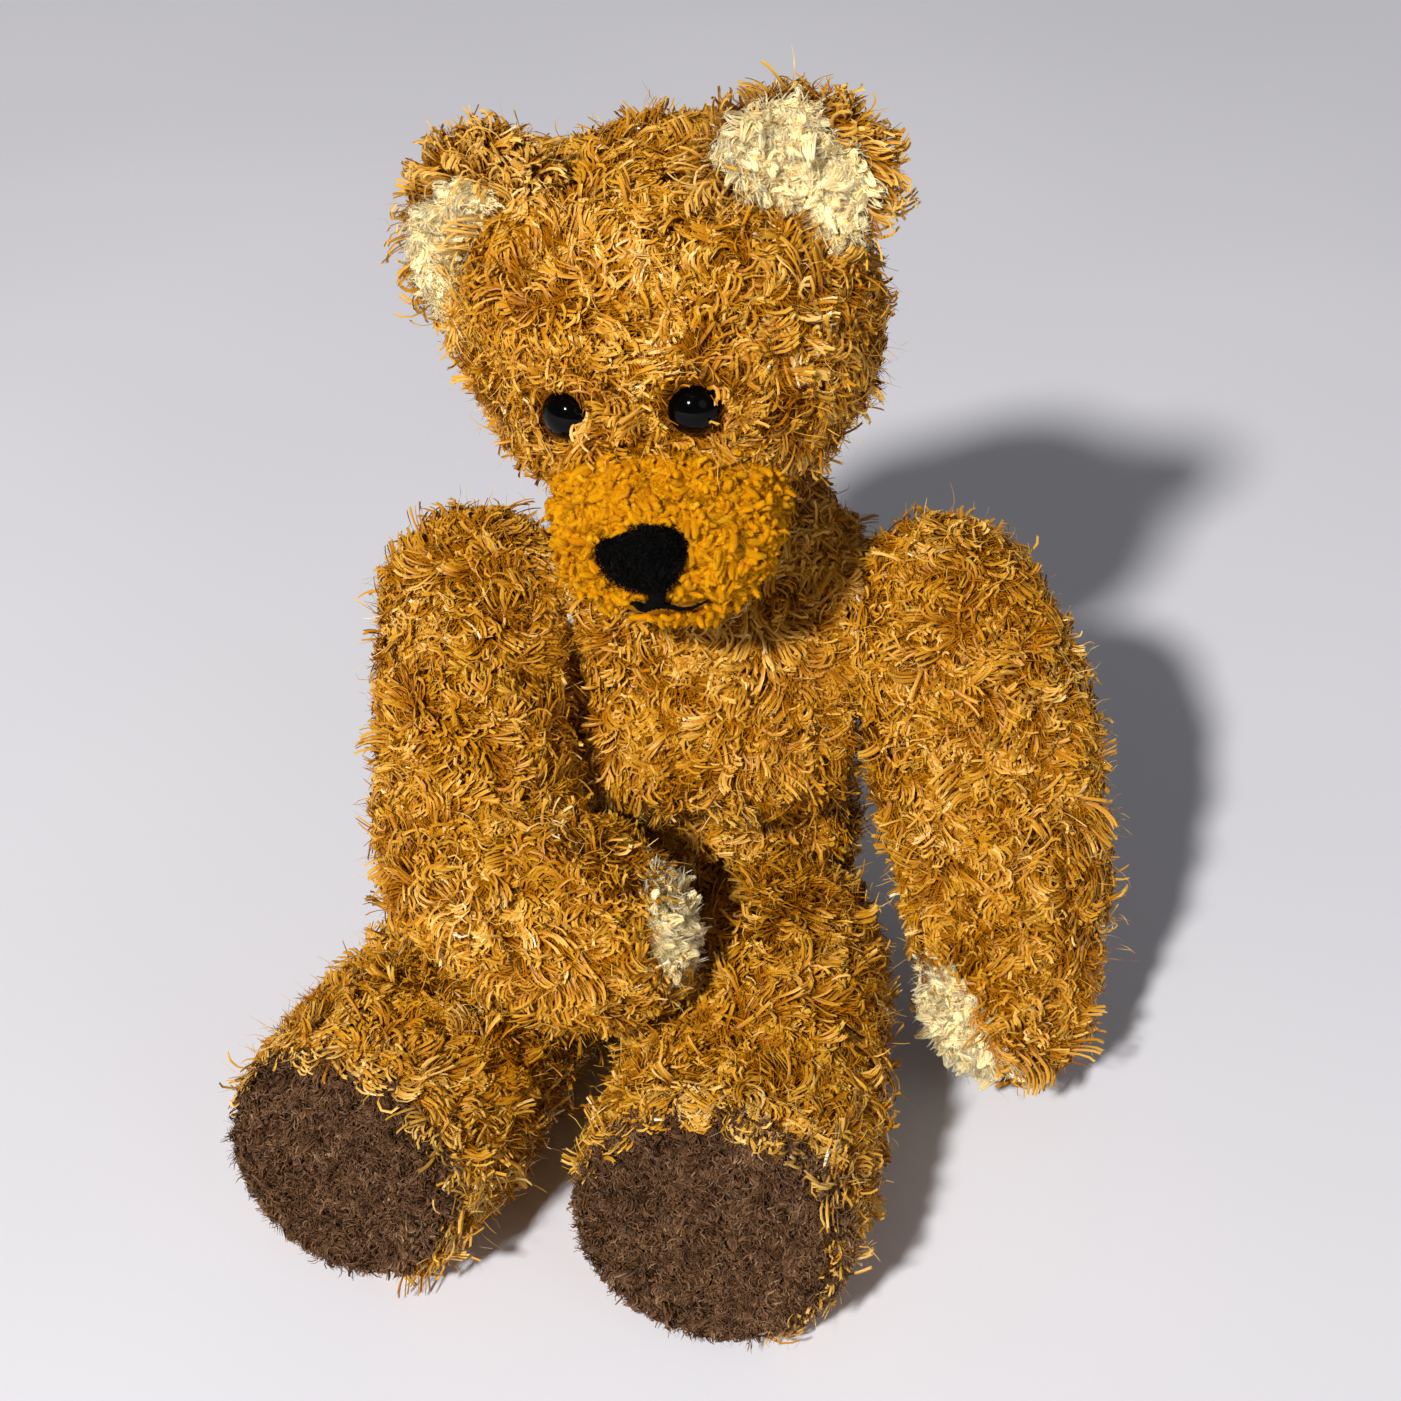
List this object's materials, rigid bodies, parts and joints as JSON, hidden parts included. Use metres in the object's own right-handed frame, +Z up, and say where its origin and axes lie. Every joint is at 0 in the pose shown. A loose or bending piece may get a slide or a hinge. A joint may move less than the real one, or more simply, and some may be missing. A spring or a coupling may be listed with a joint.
{
  "type": "jointed teddy bear",
  "caption": "Soft sitting bear with shaggy golden pile, pale ear linings and palms, brown soles, and a head, arms and legs that turn on disc joints.",
  "frame": {"origin": "on the flat underside of the seat, which stands on the floor at z = 0", "axes": "+Z up, the bear sits facing -Y, its own left is +X"},
  "size_m": [0.1865, 0.1573, 0.2428],
  "materials": {
    "golden_pile": "long shaggy pile",
    "cream_pile": "short woolly fleece",
    "brown_pile": "short heathered fleece",
    "muzzle_pile": "short curled pile",
    "black_thread": "satin stitched thread",
    "eye_plastic": "polished",
    "joint_plastic": "moulded",
    "stuffing": "loose fibre"
  },
  "bodies": {
    "torso": {"body_cover": "golden_pile", "body_stuffing": "stuffing", "neck_washer": "joint_plastic", "left_shoulder_washer": "joint_plastic", "right_shoulder_washer": "joint_plastic", "left_hip_washer": "joint_plastic", "right_hip_washer": "joint_plastic"},
    "head": {"head_cover": "golden_pile", "head_stuffing": "stuffing", "muzzle": "muzzle_pile", "muzzle_stuffing": "stuffing", "nose": "black_thread", "mouth_stitch": "black_thread", "left_ear": "golden_pile", "right_ear": "golden_pile", "left_ear_lining": "cream_pile", "right_ear_lining": "cream_pile", "left_eye": "eye_plastic", "right_eye": "eye_plastic", "left_eye_washer": "joint_plastic", "right_eye_washer": "joint_plastic", "neck_disc": "joint_plastic", "neck_lock_ring": "joint_plastic"},
    "left_arm": {"left_arm_cover": "golden_pile", "left_arm_stuffing": "stuffing", "left_palm_pad": "cream_pile", "left_shoulder_disc": "joint_plastic", "left_shoulder_lock_ring": "joint_plastic"},
    "left_leg": {"left_leg_cover": "golden_pile", "left_leg_stuffing": "stuffing", "left_foot_pad": "brown_pile", "left_hip_disc": "joint_plastic", "left_hip_lock_ring": "joint_plastic"},
    "right_arm": {"right_arm_cover": "golden_pile", "right_arm_stuffing": "stuffing", "right_palm_pad": "cream_pile", "right_shoulder_disc": "joint_plastic", "right_shoulder_lock_ring": "joint_plastic"},
    "right_leg": {"right_leg_cover": "golden_pile", "right_leg_stuffing": "stuffing", "right_foot_pad": "brown_pile", "right_hip_disc": "joint_plastic", "right_hip_lock_ring": "joint_plastic"}
  },
  "joints": [
    {"name": "neck_turn", "type": "hinge", "parent": "torso", "child": "head", "pos_m": [0.005, -0.0056, 0.15556], "axis": [-0.1793, -0.342, 0.9224], "continuous": true},
    {"name": "left_shoulder_turn", "type": "hinge", "parent": "torso", "child": "left_arm", "pos_m": [0.037, -0.011, 0.112], "axis": [-1, 0, 0], "continuous": true},
    {"name": "right_shoulder_turn", "type": "hinge", "parent": "torso", "child": "right_arm", "pos_m": [-0.027, -0.011, 0.11], "axis": [-1, 0, 0], "range_deg": [0, 45]},
    {"name": "left_hip_turn", "type": "hinge", "parent": "torso", "child": "left_leg", "pos_m": [0.008, -0.034, 0.028], "axis": [1, 0, 0], "range_deg": [0, 90]},
    {"name": "right_hip_turn", "type": "hinge", "parent": "torso", "child": "right_leg", "pos_m": [-0.012, -0.032, 0.028], "axis": [0.9781, -0.2079, 0], "range_deg": [0, 90]}
  ]
}
